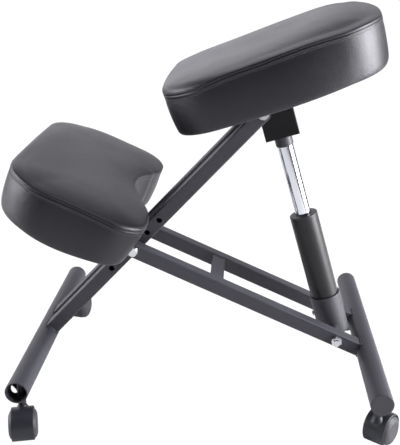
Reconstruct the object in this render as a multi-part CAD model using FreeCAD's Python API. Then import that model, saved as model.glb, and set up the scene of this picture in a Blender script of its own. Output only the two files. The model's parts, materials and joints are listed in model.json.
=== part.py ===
import FreeCAD, Part

import math
import os

from FreeCAD import Placement, Rotation, Vector

# Kneeling chair, in millimetres.
# +X points to the left of someone sitting on it, +Y to the rear and +Z up.
# Two floor bars on casters carry a scissor of square tubes.
# The rails lead from the rear bar up to the knee pad, and the arms from the front bar up to the seat.
# A gas lift between rails and seat opens the scissor.

# Stance
wheelbase = 590.0
arm_angle = 47.0
rail_angle = 24.2
rail_drop = 3.0
arm_pivot_run = 577.0
lift_pivot_run = 60.0
lift_lean = 16.5
seat_pitch = 19.0

# Floor bars
bar_diameter = 38.0
bar_wall = 2.0
bar_length = 495.0
bar_clearance = 73.0
cap_thickness = 2.5
cap_insert_length = 12.0
spare_hole_diameter = 15.0
spare_hole_turn = 50.0
spare_hole_inset = 30.0

# Square tubes
tube_size = 25.0
tube_wall = 2.0
tube_corner = 2.5
rail_gap = 98.0
arm_gap = 34.0
rail_length = 640.0
adjust_hole_pitch = 32.0
adjust_holes_each_way = 2
strap_run = 300.0
strap_width = 25.0
strap_thickness = 3.0
strap_below_rail_top = 2.5

# Fasteners
pivot_bolt_diameter = 10.0
bolt_head_across_flats = 17.0
bolt_head_height = 6.4
nut_height = 9.0
bolt_tail = 3.0
pivot_spacer_diameter = 20.0
centre_spacer_diameter = 16.0
screw_diameter = 6.0
screw_head_across_flats = 10.0
screw_head_height = 4.0
screw_bite = 8.0

# Fits
pin_fit = 0.05
joint_gap = 0.3
open_pivot_clearance = 1.4
weld_gap = 0.05

# Knee pad
pad_width = 444.0
pad_overhang = 52.0
pad_length = 236.0
pad_height = 77.0
pad_front_corner = 85.0
pad_lobe_radius = 68.0
pad_notch_depth = 50.0
cross_plate_thickness = 3.0
cross_plate_width = 40.0
cross_plate_length = 196.0
cross_plate_insets = (95.0, 25.0)

# Seat
seat_width = 412.0
seat_length = 370.0
seat_height = 83.0
seat_corner = 118.0
seat_bow = 8.0
seat_offset = 16.5
seat_plate_length = 170.0
seat_plate_width = 150.0
seat_plate_thickness = 3.0

# Upholstery
board_thickness = 12.0
board_inset = 14.0
crown_rise = 9.0
side_draw = 7.0
side_bulge = 2.0
seam_pinch = 1.8
seam_band = 1.2
soft_gap = 0.3

# Gas lift, with heights measured along the lift from its lower pivot
seat_above_pivot = 30.0
bracket_depth = 83.6
bracket_wall = 3.0
bracket_length = 60.0
column_diameter = 50.0
column_wall = 2.0
column_bottom = 8.0
column_top = 220.5
column_floor_height = 14.0
column_floor_thickness = 3.0
bush_length = 70.0
bush_flange = 2.5
lift_tube_diameter = 28.0
lift_tube_wall = 2.0
lift_tube_bottom = 126.0
lift_tube_stand = 8.0
lift_tube_cap = 16.0
rod_guide_length = 12.0
piston_length = 12.0
piston_rod_diameter = 10.0
piston_rod_bottom = 9.5
piston_standoff = 2.0
clip_diameter = 18.0
clip_thickness = 2.0
collar_diameter = 31.0
collar_length = 18.0
collar_round = 4.0
socket_wall = 2.7
socket_fit = 0.3
socket_bottom = -14.0
socket_top = 62.0
socket_screw_height = 27.0
socket_screw_stand = 3.0

# Release lever and valve
button_diameter = 6.0
button_stand = 6.0
button_length = 18.0
lever_diameter = 8.0
lever_pivot_offset = 10.0
lever_inner_reach = 8.0
lever_bend_offset = 32.0
lever_reach = 172.0
lever_rise = 22.0
lever_pin_diameter = 4.0
lever_travel_room = 3.0
paddle_length = 52.0
paddle_width = 26.0
paddle_thickness = 9.0
paddle_cover = 30.0

# Casters
wheel_diameter = 50.0
caster_inset = 31.0
caster_trail = 15.0
caster_stem_diameter = 11.0
caster_socket_wall = 0.95
caster_socket_length = 30.0
caster_flange_diameter = 18.0
caster_flange_thickness = 1.5
caster_neck_diameter = 13.5
caster_neck_foot_diameter = 24.0
caster_neck_foot_height = 9.0
hood_diameter = 58.0
hood_wall = 2.5
hood_width = 38.0
hood_round = 3.0
hood_floor_clearance = 7.5
hood_web = 5.0
wheel_web_gap = 0.8
wheel_dome = 4.5
wheel_dome_diameter = 34.0
wheel_edge_round = 2.0
axle_diameter = 8.0
axle_length = 36.0
front_trail_heading = 13.0
rear_trail_heading = 143.0

# Derived places, each a point in the Y Z plane or a distance
bar_radius = bar_diameter / 2
axis_height = bar_clearance + bar_radius
half_tube = tube_size / 2
rail_inner = rail_gap / 2
rail_outer = rail_inner + tube_size
arm_inner = arm_gap / 2
arm_outer = arm_inner + tube_size
bolt_radius = pivot_bolt_diameter / 2
caster_offset = bar_length / 2 + cap_thickness - caster_inset


def along(degrees):
    return Vector(0, math.cos(math.radians(degrees)), math.sin(math.radians(degrees)))


front_axis = Vector(0, 0, axis_height)
rear_axis = Vector(0, wheelbase, axis_height)
rail_origin = rear_axis - along(90 - rail_angle) * rail_drop
arm_line = along(arm_angle)
rail_line = along(180 - rail_angle)


def crossing_run():
    # Distance along the arms at which their centre line meets that of the rails
    gap = rail_origin - front_axis
    turn = arm_line.y * rail_line.z - arm_line.z * rail_line.y
    return (gap.y * rail_line.z - gap.z * rail_line.y) / turn


fold_run = crossing_run()
fold_point = front_axis + arm_line * fold_run
fold_run_on_rail = (fold_point - rail_origin).dot(rail_line)
seat_pivot = front_axis + arm_line * arm_pivot_run
lift_pivot = rail_origin + rail_line * lift_pivot_run
lift_line = along(90 + lift_lean)
lift_side = along(lift_lean)
pivot_on_lift = Vector(0, (seat_pivot - lift_pivot).dot(lift_side), (seat_pivot - lift_pivot).dot(lift_line))
lift_length = pivot_on_lift.z + seat_above_pivot
seat_origin = lift_pivot + lift_line * lift_length
bracket_floor = lift_length - bracket_depth
lift_tube_top = bracket_floor + lift_tube_stand
button_top = lift_tube_top + button_stand
pad_front_run = rail_length + pad_overhang
pad_rear_run = pad_front_run - pad_length
cross_plate_runs = [rail_length - inset for inset in cross_plate_insets]

# Frames: each tilts about X and keeps X as it is
rail_frame = Placement(rail_origin, Rotation(Vector(1, 0, 0), -rail_angle))
arm_frame = Placement(front_axis, Rotation(Vector(1, 0, 0), arm_angle))
lift_frame = Placement(lift_pivot, Rotation(Vector(1, 0, 0), lift_lean))
seat_frame = Placement(seat_origin, Rotation(Vector(1, 0, 0), seat_pitch))
front_bar_frame = Placement(front_axis, Rotation())
rear_bar_frame = Placement(rear_axis, Rotation())


# Basic solids

def box(x0, x1, y0, y1, z0, z1):
    return Part.makeBox(x1 - x0, y1 - y0, z1 - z0, Vector(x0, y0, z0))


def rod_x(radius, x0, x1, y=0.0, z=0.0):
    return Part.makeCylinder(radius, x1 - x0, Vector(x0, y, z), Vector(1, 0, 0))


def rod_y(radius, y0, y1, x=0.0, z=0.0):
    return Part.makeCylinder(radius, y1 - y0, Vector(x, y0, z), Vector(0, 1, 0))


def rod_z(radius, z0, z1, x=0.0, y=0.0):
    return Part.makeCylinder(radius, z1 - z0, Vector(x, y, z0), Vector(0, 0, 1))


def tube_x(outer, inner, x0, x1, y=0.0, z=0.0):
    return rod_x(outer, x0, x1, y, z).cut(rod_x(inner, x0 - 1, x1 + 1, y, z))


def tube_z(outer, inner, z0, z1):
    return rod_z(outer, z0, z1).cut(rod_z(inner, z0 - 1, z1 + 1))


def revolved(profile, axis):
    face = Part.Face(Part.makePolygon([Vector(*point) for point in profile + profile[:1]]))
    return face.revolve(Vector(0, 0, 0), axis, 360)


def hexagon_x(across_flats, x0, x1, y, z):
    radius = across_flats / math.sqrt(3)
    corners = [Vector(x0, y + radius * math.cos(math.radians(60 * i)), z + radius * math.sin(math.radians(60 * i)))
               for i in range(7)]
    prism = Part.Face(Part.makePolygon(corners)).extrude(Vector(x1 - x0, 0, 0))
    return prism


def mirrored(shape):
    return shape.mirror(Vector(0, 0, 0), Vector(1, 0, 0))


def square_wire(size, corner):
    # A rounded square in the X Z plane
    reach = size / 2
    flat = reach - corner
    slant = corner * math.sqrt(0.5)
    edges = []
    for quarter in range(4):
        turn = Rotation(Vector(0, 1, 0), 90 * quarter)
        start = turn.multVec(Vector(reach, 0, flat))
        middle = turn.multVec(Vector(flat + slant, 0, flat + slant))
        end = turn.multVec(Vector(flat, 0, reach))
        following = turn.multVec(Vector(-flat, 0, reach))
        edges.append(Part.Arc(start, middle, end).toShape())
        edges.append(Part.makeLine(end, following))
    return Part.Wire(Part.__sortEdges__(edges))


def square_tube(y0, y1):
    outer = Part.Face(square_wire(tube_size, tube_corner)).extrude(Vector(0, y1 - y0, 0))
    inner_corner = max(tube_corner - tube_wall, 0.3)
    inner = Part.Face(square_wire(tube_size - 2 * tube_wall, inner_corner)).extrude(Vector(0, y1 - y0, 0))
    tube = outer.cut(inner)
    tube.translate(Vector(0, y0, 0))
    return tube


def pivot_bolt(reach, side, y, z):
    # A hexagon bolt along X, with its head on the side given as 1 or -1
    head = hexagon_x(bolt_head_across_flats, reach, reach + bolt_head_height, y, z)
    bevel = Part.makeCone(bolt_head_across_flats, bolt_head_across_flats / 2 - 0.6,
                          bolt_head_across_flats, Vector(reach + bolt_head_height - bolt_head_across_flats, y, z),
                          Vector(1, 0, 0))
    head = head.common(bevel)
    shank = rod_x(bolt_radius, -reach - nut_height - bolt_tail, reach, y, z)
    bolt = head.fuse(shank).removeSplitter()
    return bolt if side > 0 else mirrored(bolt)


def pivot_nut(reach, side, y, z):
    # A lock nut with a round collar, opposite the bolt head
    prism = hexagon_x(bolt_head_across_flats, reach, reach + nut_height * 0.75, y, z)
    collar = rod_x(bolt_head_across_flats / 2 - 1.0, reach, reach + nut_height, y, z)
    nut = prism.fuse(collar).removeSplitter().cut(rod_x(bolt_radius + pin_fit, 0, reach + 2 * nut_height, y, z))
    return nut if side > 0 else mirrored(nut)


def screw_up(x, y, z_head_top, bite):
    # A small hexagon screw along Z whose head lies under z_head_top
    radius = screw_head_across_flats / math.sqrt(3)
    corners = [Vector(x + radius * math.cos(math.radians(60 * i)), y + radius * math.sin(math.radians(60 * i)),
                      z_head_top - screw_head_height) for i in range(7)]
    head = Part.Face(Part.makePolygon(corners)).extrude(Vector(0, 0, screw_head_height))
    return head.fuse(rod_z(screw_diameter / 2, z_head_top, z_head_top + bite, x, y)).removeSplitter()


def arc_between(start, middle, end):
    return Part.Arc(Vector(*start), Vector(*middle), Vector(*end)).toShape()


# Cushions

def polar(centre, radius, degrees):
    return (centre[0] + radius * math.cos(math.radians(degrees)),
            centre[1] + radius * math.sin(math.radians(degrees)))


def direction(start, end):
    return math.degrees(math.atan2(end[1] - start[1], end[0] - start[0]))


def seat_outline(inset, z):
    # Four bowed sides that run tangent into four corner arcs, drawn in by the inset
    half_width = seat_width / 2
    half_length = seat_length / 2
    corner_x = half_width - seat_corner - seat_bow
    corner_y = half_length - seat_corner - seat_bow
    reach = seat_corner + seat_bow
    end_radius = (corner_x ** 2 + reach ** 2 - seat_corner ** 2) / (2 * seat_bow)
    side_radius = (corner_y ** 2 + reach ** 2 - seat_corner ** 2) / (2 * seat_bow)
    corner = (corner_x, corner_y)
    lean_end = direction((0, half_length - end_radius), corner)
    lean_side = direction((half_width - side_radius, 0), corner)
    radius = seat_corner - inset
    on_end = polar(corner, radius, lean_end)
    on_corner = polar(corner, radius, (lean_end + lean_side) / 2)
    on_side = polar(corner, radius, lean_side)

    def place(point, flip_x, flip_y):
        return (point[0] * flip_x, seat_offset + point[1] * flip_y, z)

    edges = []
    for flip_x, flip_y in ((1, 1), (1, -1), (-1, -1), (-1, 1)):
        corner_points = [place(on_end, flip_x, flip_y), place(on_corner, flip_x, flip_y),
                         place(on_side, flip_x, flip_y)]
        edges.append(arc_between(*corner_points))
    for flip_x in (1, -1):
        edges.append(arc_between(place(on_side, flip_x, 1), place((half_width - inset, 0), flip_x, 1),
                                 place(on_side, flip_x, -1)))
    for flip_y in (1, -1):
        edges.append(arc_between(place(on_end, 1, flip_y), place((0, half_length - inset), 1, flip_y),
                                 place(on_end, -1, flip_y)))
    return Part.Wire(Part.__sortEdges__(edges))


def pad_outline(inset, z):
    # A kidney: straight front and sides, round front corners, two rear lobes and the notch between them
    half_width = pad_width / 2
    front_corner = (half_width - pad_front_corner, -pad_front_run + pad_front_corner)
    lobe = (half_width - pad_lobe_radius, -pad_rear_run - pad_lobe_radius)
    # The notch circle touches both lobes from outside and reaches the notch depth
    notch_bottom = -pad_rear_run - pad_notch_depth
    step = notch_bottom - lobe[1]
    notch_radius = (lobe[0] ** 2 + step ** 2 - pad_lobe_radius ** 2) / (2 * (pad_lobe_radius - step))
    notch_centre = notch_bottom + notch_radius
    front_radius = pad_front_corner - inset
    lobe_radius = pad_lobe_radius - inset
    toward_notch = direction(lobe, (0, notch_centre))
    front = -pad_front_run + inset
    side = half_width - inset
    edges = [Part.makeLine(Vector(-front_corner[0], front, z), Vector(front_corner[0], front, z))]
    for flip in (1, -1):
        def place(point):
            return (point[0] * flip, point[1], z)

        corner_start = polar(front_corner, front_radius, -90)
        corner_middle = polar(front_corner, front_radius, -45)
        corner_end = (side, front_corner[1])
        lobe_start = (side, lobe[1])
        lobe_middle = polar(lobe, lobe_radius, toward_notch / 2)
        lobe_end = polar(lobe, lobe_radius, toward_notch)
        edges.append(arc_between(place(corner_start), place(corner_middle), place(corner_end)))
        edges.append(Part.makeLine(Vector(*place(corner_end)), Vector(*place(lobe_start))))
        edges.append(arc_between(place(lobe_start), place(lobe_middle), place(lobe_end)))
    notch_end = polar(lobe, lobe_radius, toward_notch)
    edges.append(arc_between((notch_end[0], notch_end[1], z), (0, notch_bottom - inset, z),
                             (-notch_end[0], notch_end[1], z)))
    return Part.Wire(Part.__sortEdges__(edges))


def cushion_levels(height):
    # Height and inset of each section: drawn-in foot, bulged side, pinched top seam and crown
    seam = height - crown_rise
    return ((0, side_draw), (3, side_draw * 0.45), (seam * 0.18, 0), (seam * 0.5, -side_bulge),
            (seam * 0.82, 0), (seam - seam_band, seam_pinch * 0.6), (seam, seam_pinch * 1.7),
            (seam + seam_band, seam_pinch * 1.2), (seam + crown_rise * 0.5, seam_pinch + 5.0),
            (seam + crown_rise * 0.82, seam_pinch + 16.0), (height, seam_pinch + 38.0))


def cushion(outline, floor, height):
    sections = [outline(inset, floor + z) for z, inset in cushion_levels(height)]
    body = Part.makeLoft(sections, True, True)
    pocket_wire = outline(board_inset - soft_gap, floor - 1)
    pocket = Part.Face(pocket_wire).extrude(Vector(0, 0, board_thickness + soft_gap + 1))
    return body.cut(pocket)


def cushion_board(outline, floor):
    return Part.Face(outline(board_inset, floor)).extrude(Vector(0, 0, board_thickness))


# Floor bars

def floor_bar(with_spare_hole):
    half = bar_length / 2
    bar = tube_x(bar_radius, bar_radius - bar_wall, -half, half)
    socket_radius = caster_stem_diameter / 2 + pin_fit + caster_socket_wall + pin_fit
    for side in (1, -1):
        bar = bar.cut(rod_z(socket_radius, -bar_diameter, 0, side * caster_offset, 0))
    if with_spare_hole:
        hole = rod_z(spare_hole_diameter / 2, -bar_diameter, 0)
        hole.rotate(Vector(0, 0, 0), Vector(1, 0, 0), -spare_hole_turn)
        hole.translate(Vector(half - spare_hole_inset, 0, 0))
        bar = bar.cut(hole)
    return bar


def bar_cap(side):
    half = bar_length / 2
    inner = bar_radius - bar_wall - pin_fit
    disc = rod_x(bar_radius, half, half + cap_thickness)
    disc = disc.makeFillet(cap_thickness * 0.45, [edge for edge in disc.Edges
                                                  if abs(edge.CenterOfMass.x - half - cap_thickness) < 0.01])
    insert = tube_x(inner, inner - bar_wall, half - cap_insert_length, half + cap_thickness / 2)
    cap = disc.fuse(insert).removeSplitter()
    return cap if side > 0 else mirrored(cap)


def caster_sockets():
    bore = caster_stem_diameter / 2 + pin_fit
    sockets = []
    for side in (1, -1):
        sleeve = rod_z(bore + caster_socket_wall, -bar_radius, -bar_radius + caster_socket_length)
        flange = rod_z(caster_flange_diameter / 2, -bar_radius - caster_flange_thickness, -bar_radius)
        socket = sleeve.fuse(flange).removeSplitter()
        socket = socket.cut(rod_z(bore, -2 * bar_diameter, 2 * bar_diameter))
        socket.translate(Vector(side * caster_offset, 0, 0))
        sockets.append(socket)
    return sockets


# Scissor tubes

def rail(side):
    tube = square_tube(-rail_length, 0)
    tube.translate(Vector(side * (rail_inner + half_tube), 0, 0))
    tube = tube.cut(rod_x(bar_radius + weld_gap, -bar_length, bar_length, 0, rail_drop))
    for run in (fold_run_on_rail, lift_pivot_run):
        tube = tube.cut(rod_x(bolt_radius + pin_fit, -bar_length, bar_length, -run, 0))
    return tube


def rail_plug(side):
    insert = tube_size - 2 * tube_wall - 2 * pin_fit
    head = Part.Face(square_wire(tube_size, tube_corner)).extrude(Vector(0, -cap_thickness, 0))
    body = Part.Face(square_wire(insert, 1.0)).extrude(Vector(0, cap_insert_length, 0))
    plug = head.fuse(body).removeSplitter()
    plug.translate(Vector(side * (rail_inner + half_tube), -rail_length, 0))
    return plug


def rail_strap():
    top = half_tube - strap_below_rail_top
    reach = rail_inner - weld_gap
    return box(-reach, reach, -strap_run - strap_width / 2, -strap_run + strap_width / 2,
               top - strap_thickness, top)


def arm(side):
    tube = square_tube(0, arm_pivot_run + tube_size)
    tube.translate(Vector(side * (arm_inner + half_tube), 0, 0))
    blank = box(-bar_length, bar_length, 0, arm_pivot_run, -tube_size, tube_size)
    blank = blank.fuse(rod_x(half_tube, -bar_length, bar_length, arm_pivot_run, 0))
    tube = tube.common(blank)
    tube = tube.cut(rod_x(bar_radius + weld_gap, -bar_length, bar_length))
    holes = [fold_run + adjust_hole_pitch * step for step in range(-adjust_holes_each_way, adjust_holes_each_way + 1)]
    for run in holes + [arm_pivot_run]:
        tube = tube.cut(rod_x(bolt_radius + pin_fit, -bar_length, bar_length, run, 0))
    return tube


def fold_spacers():
    bore = bolt_radius + pin_fit
    run = -fold_run_on_rail
    side_spacer = tube_x(pivot_spacer_diameter / 2, bore, arm_outer + joint_gap, rail_inner, run, 0)
    centre = arm_inner - joint_gap
    return [side_spacer, mirrored(side_spacer),
            tube_x(centre_spacer_diameter / 2, bore, -centre, centre, run, 0)]


def lift_spacers():
    socket_radius = column_diameter / 2 + socket_fit + socket_wall
    spacer = tube_x(pivot_spacer_diameter / 2, bolt_radius + pin_fit, socket_radius + joint_gap, rail_inner,
                    -lift_pivot_run, 0)
    return [spacer, mirrored(spacer)]


# Knee pad

def cross_plates():
    plates = []
    for run in cross_plate_runs:
        plate = box(-cross_plate_length / 2, cross_plate_length / 2, -run - cross_plate_width / 2,
                    -run + cross_plate_width / 2, half_tube, half_tube + cross_plate_thickness)
        for side in (1, -1):
            plate = plate.cut(rod_z(screw_diameter / 2 + pin_fit, 0, tube_size, side * pad_screw_x, -run))
        plates.append(plate)
    return plates


def pad_screws():
    bite = cross_plate_thickness + screw_bite
    return [screw_up(side * pad_screw_x, -run, half_tube, bite) for run in cross_plate_runs for side in (1, -1)]


pad_floor = half_tube + cross_plate_thickness
pad_screw_x = (rail_outer + cross_plate_length / 2) / 2


def drilled_board(board, places, floor):
    for x, y in places:
        board = board.cut(rod_z(screw_diameter / 2 + pin_fit, floor - 1, floor + screw_bite + 1, x, y))
    return board


# Seat

def seat_screw_places():
    x = seat_plate_length / 2 - 2 * screw_diameter
    y = seat_plate_width / 2 - 2 * screw_diameter
    return [(sx * x, seat_offset + sy * y) for sx in (1, -1) for sy in (1, -1)]


def seat_plate():
    plate = box(-seat_plate_length / 2, seat_plate_length / 2, seat_offset - seat_plate_width / 2,
                seat_offset + seat_plate_width / 2, -seat_plate_thickness, 0)
    for x, y in seat_screw_places():
        plate = plate.cut(rod_z(screw_diameter / 2 + pin_fit, -2 * seat_plate_thickness, 1, x, y))
    return plate


def seat_screws():
    bite = seat_plate_thickness + screw_bite
    return [screw_up(x, y, -seat_plate_thickness, bite) for x, y in seat_screw_places()]


def seat_bracket():
    # A folded box between the arms, cut off square to the seat plate at its top
    half = bracket_length / 2
    side = arm_inner - joint_gap
    shell = box(-side, side, -half, half, bracket_floor, lift_length + bracket_length)
    hollow = box(bracket_wall - side, side - bracket_wall, bracket_wall - half, half - bracket_wall,
                 bracket_floor + bracket_wall, lift_length + 2 * bracket_length)
    shell = shell.makeFillet(2.0, [edge for edge in shell.Edges if abs(edge.tangentAt(edge.FirstParameter).z) > 0.9])
    bracket = shell.cut(hollow)
    bracket = bracket.cut(rod_z(lift_tube_diameter / 2 + weld_gap, 0, bracket_floor + 2 * bracket_wall))
    bracket = bracket.cut(rod_x(bolt_radius + open_pivot_clearance, -bar_length, bar_length,
                                pivot_on_lift.y, pivot_on_lift.z))
    bracket = bracket.cut(rod_y(lever_pin_diameter / 2 + pin_fit, -bracket_length, bracket_length,
                                -lever_pivot_offset, lever_height))
    room = lever_diameter / 2 + 0.6
    slot = box(-arm_outer, -lever_pivot_offset - lever_diameter / 4, -room, room,
               lever_height - room, lever_height + room + lever_travel_room)
    bracket = bracket.cut(slot)
    above = box(-bar_length, bar_length, -bar_length, bar_length, -seat_plate_thickness, bar_length)
    above.Placement = lift_frame.inverse().multiply(seat_frame).multiply(above.Placement)
    return bracket.cut(above)


lever_height = button_top + joint_gap + lever_diameter / 2


def release_lever():
    inner = rod_x(lever_diameter / 2, -lever_bend_offset, lever_inner_reach, 0, lever_height)
    bend = Vector(-lever_bend_offset, 0, lever_height)
    end = Vector(-lever_reach, 0, lever_height + lever_rise)
    outer = Part.makeCylinder(lever_diameter / 2, (end - bend).Length, bend, end - bend)
    knee = Part.makeSphere(lever_diameter / 2, bend)
    lever = inner.fuse([knee, outer]).removeSplitter()
    return lever.cut(rod_y(lever_pin_diameter / 2 + pin_fit, -lever_diameter, lever_diameter,
                           -lever_pivot_offset, lever_height))


def lever_paddle():
    # A flat moulded grip pushed over the lever's outer end
    start = -lever_reach + paddle_cover
    blank = box(start - paddle_length, start, -paddle_width / 2, paddle_width / 2,
                -paddle_thickness / 2, paddle_thickness / 2)
    upright = [edge for edge in blank.Edges if abs(edge.tangentAt(edge.FirstParameter).z) > 0.9]
    blank = blank.makeFillet(paddle_width * 0.42, upright)
    blank = blank.makeFillet(paddle_thickness * 0.3, [edge for edge in blank.Edges
                                                      if abs(edge.BoundBox.ZLength) < 0.01])
    neck = rod_x(lever_diameter / 2 + 2.5, start - paddle_cover, start + 6)
    bore = rod_x(lever_diameter / 2 + pin_fit, start - paddle_cover - pin_fit, start + 2 * paddle_cover)
    grip = blank.fuse(neck).removeSplitter().cut(bore)
    slope = math.degrees(math.atan2(lever_rise, lever_reach - lever_bend_offset))
    slide = (lever_reach - lever_bend_offset) / math.cos(math.radians(slope)) - (lever_reach - lever_bend_offset)
    grip.translate(Vector(lever_bend_offset - slide, 0, 0))
    grip.rotate(Vector(0, 0, 0), Vector(0, 1, 0), slope)
    grip.translate(Vector(-lever_bend_offset, 0, lever_height))
    return grip


def lever_pin():
    half = bracket_length / 2 - pin_fit
    return rod_y(lever_pin_diameter / 2, -half, half, -lever_pivot_offset, lever_height)


def valve_button():
    return rod_z(button_diameter / 2, button_top - button_length, button_top)


# Gas lift

def lift_tube():
    radius = lift_tube_diameter / 2
    bore = radius - lift_tube_wall
    tube = rod_z(radius, lift_tube_bottom, lift_tube_top)
    tube = tube.cut(rod_z(bore, lift_tube_bottom - 1, lift_tube_top - lift_tube_cap))
    return tube.cut(rod_z(button_diameter / 2 + pin_fit, lift_tube_bottom, lift_tube_top + 1))


def rod_guide():
    bore = lift_tube_diameter / 2 - lift_tube_wall
    return tube_z(bore - pin_fit, piston_rod_diameter / 2 + pin_fit, lift_tube_bottom,
                  lift_tube_bottom + rod_guide_length)


def piston_rod():
    piston_bottom = lift_tube_bottom + rod_guide_length + piston_standoff
    rod = rod_z(piston_rod_diameter / 2, piston_rod_bottom, piston_bottom + piston_length)
    piston = rod_z(lift_tube_diameter / 2 - lift_tube_wall - pin_fit, piston_bottom, piston_bottom + piston_length)
    return rod.fuse(piston).removeSplitter()


def retaining_clip():
    top = column_floor_height - pin_fit
    return tube_z(clip_diameter / 2, piston_rod_diameter / 2 + pin_fit, top - clip_thickness, top)


def lift_column():
    radius = column_diameter / 2
    column = tube_z(radius, radius - column_wall, column_bottom, column_top)
    floor = tube_z(radius - column_wall / 2, piston_rod_diameter / 2 + pin_fit, column_floor_height,
                   column_floor_height + column_floor_thickness)
    return column.fuse(floor).removeSplitter()


def guide_bush():
    radius = column_diameter / 2
    sleeve = rod_z(radius - column_wall - pin_fit, column_top - bush_length, column_top + bush_flange)
    flange = rod_z(radius, column_top, column_top + bush_flange)
    flange = flange.makeFillet(bush_flange * 0.6, [edge for edge in flange.Edges
                                                   if abs(edge.CenterOfMass.z - column_top - bush_flange) < 0.01])
    bore = lift_tube_diameter / 2 + pin_fit
    return sleeve.fuse(flange).removeSplitter().cut(rod_z(bore, 0, column_top + 2 * bush_length))


def lift_collar():
    collar = rod_z(collar_diameter / 2, bracket_floor - collar_length, bracket_floor)
    collar = collar.makeFillet(min(collar_round, collar_length / 2),
                               [edge for edge in collar.Edges
                                if abs(edge.CenterOfMass.z - bracket_floor + collar_length) < 0.01])
    return collar.cut(rod_z(lift_tube_diameter / 2 + weld_gap, 0, lift_length))


socket_inner = column_diameter / 2 + socket_fit
socket_outer = socket_inner + socket_wall


def lift_socket():
    socket = tube_z(socket_outer, socket_inner, socket_bottom, socket_top)
    socket = socket.cut(rod_x(bolt_radius + pin_fit, -bar_length, bar_length))
    return socket.cut(rod_y(screw_diameter / 2 + pin_fit, -bar_length, 0, 0, socket_screw_height))


def socket_screw():
    head = rod_y(screw_head_across_flats / 2, -socket_outer - socket_screw_stand, -socket_outer + 0.4,
                 0, socket_screw_height)
    head = head.cut(rod_z(socket_outer, 0, lift_length))
    shank = rod_y(screw_diameter / 2, -socket_outer - socket_screw_stand / 2, -column_diameter / 2 - pin_fit,
                  0, socket_screw_height)
    shank = shank.cut(rod_z(column_diameter / 2 + pin_fit, 0, lift_length))
    return head.fuse(shank).removeSplitter()


# Casters, built with the wheel axle along X, the trail toward +Y and the stem on the Z axis

wheel_radius = wheel_diameter / 2
stem_top = bar_clearance + caster_socket_length
neck_top = bar_clearance - caster_flange_thickness - joint_gap


def caster_hood():
    radius = hood_diameter / 2
    half = hood_width / 2
    barrel = rod_x(radius, -half, half, caster_trail, wheel_radius)
    rims = [edge for edge in barrel.Edges if abs(abs(edge.CenterOfMass.x) - half) < 0.01]
    barrel = barrel.makeFillet(min(hood_round, hood_wall * 0.9), rims)
    foot = Part.makeCone(caster_neck_foot_diameter / 2, caster_neck_diameter / 2, caster_neck_foot_height,
                         Vector(0, 0, wheel_radius + radius - caster_neck_foot_height), Vector(0, 0, 1))
    root = rod_z(caster_neck_foot_diameter / 2, wheel_radius + radius / 2,
                 wheel_radius + radius - caster_neck_foot_height)
    neck = rod_z(caster_neck_diameter / 2, wheel_radius + radius / 2, neck_top)
    hood = barrel.fuse([foot, root, neck]).removeSplitter()
    for side in (1, -1):
        inner_end = side * hood_web / 2
        outer_end = side * hood_width
        room = rod_x(radius - hood_wall, min(inner_end, outer_end), max(inner_end, outer_end),
                     caster_trail, wheel_radius)
        hood = hood.cut(room)
    hood = hood.cut(rod_z(caster_stem_diameter / 2 + pin_fit, stem_bottom, stem_top))
    hood = hood.cut(rod_x(axle_diameter / 2 + pin_fit, -hood_width, hood_width, caster_trail, wheel_radius))
    return hood.cut(box(-hood_width, hood_width, -hood_diameter, hood_diameter + caster_trail,
                        -hood_diameter, hood_floor_clearance))


stem_bottom = wheel_radius + hood_diameter / 2 - hood_wall


def caster_stem():
    stem = rod_z(caster_stem_diameter / 2, stem_bottom + pin_fit, stem_top - 1)
    tip = [edge for edge in stem.Edges if abs(edge.CenterOfMass.z - stem_top + 1) < 0.01]
    return stem.makeChamfer(1.0, tip)


def caster_axle():
    return rod_x(axle_diameter / 2, -axle_length / 2, axle_length / 2, caster_trail, wheel_radius)


def caster_wheel(side):
    inner = hood_web / 2 + wheel_web_gap
    rim = hood_width / 2
    bore = axle_diameter / 2 + pin_fit
    end = axle_length / 2 + pin_fit
    edge = wheel_edge_round
    profile = [(inner, bore, 0), (inner, wheel_radius - edge, 0), (inner + edge, wheel_radius, 0),
               (rim - edge, wheel_radius, 0), (rim, wheel_radius - 0.6, 0),
               (rim + wheel_dome * 0.55, wheel_radius - 3.0, 0), (rim + wheel_dome, wheel_dome_diameter / 2, 0),
               (rim + wheel_dome, 0, 0), (end, 0, 0), (end, bore, 0)]
    wheel = revolved(profile, Vector(1, 0, 0))
    wheel.translate(Vector(0, caster_trail, wheel_radius))
    return wheel if side > 0 else mirrored(wheel)


def caster_frame(side, bar_axis, heading):
    # The heading is the trail's direction from +X toward +Y on the left-hand side, mirrored on the right
    turn = heading - 90 if side > 0 else 90 - heading
    return Placement(Vector(side * caster_offset, bar_axis.y, 0), Rotation(Vector(0, 0, 1), turn))


# Assembly

nodes = {}


def add(name, frame, *solids):
    placed = []
    for solid in solids:
        piece = solid.copy()
        piece.Placement = frame.multiply(piece.Placement)
        placed.append(piece)
    nodes[name] = placed


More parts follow.
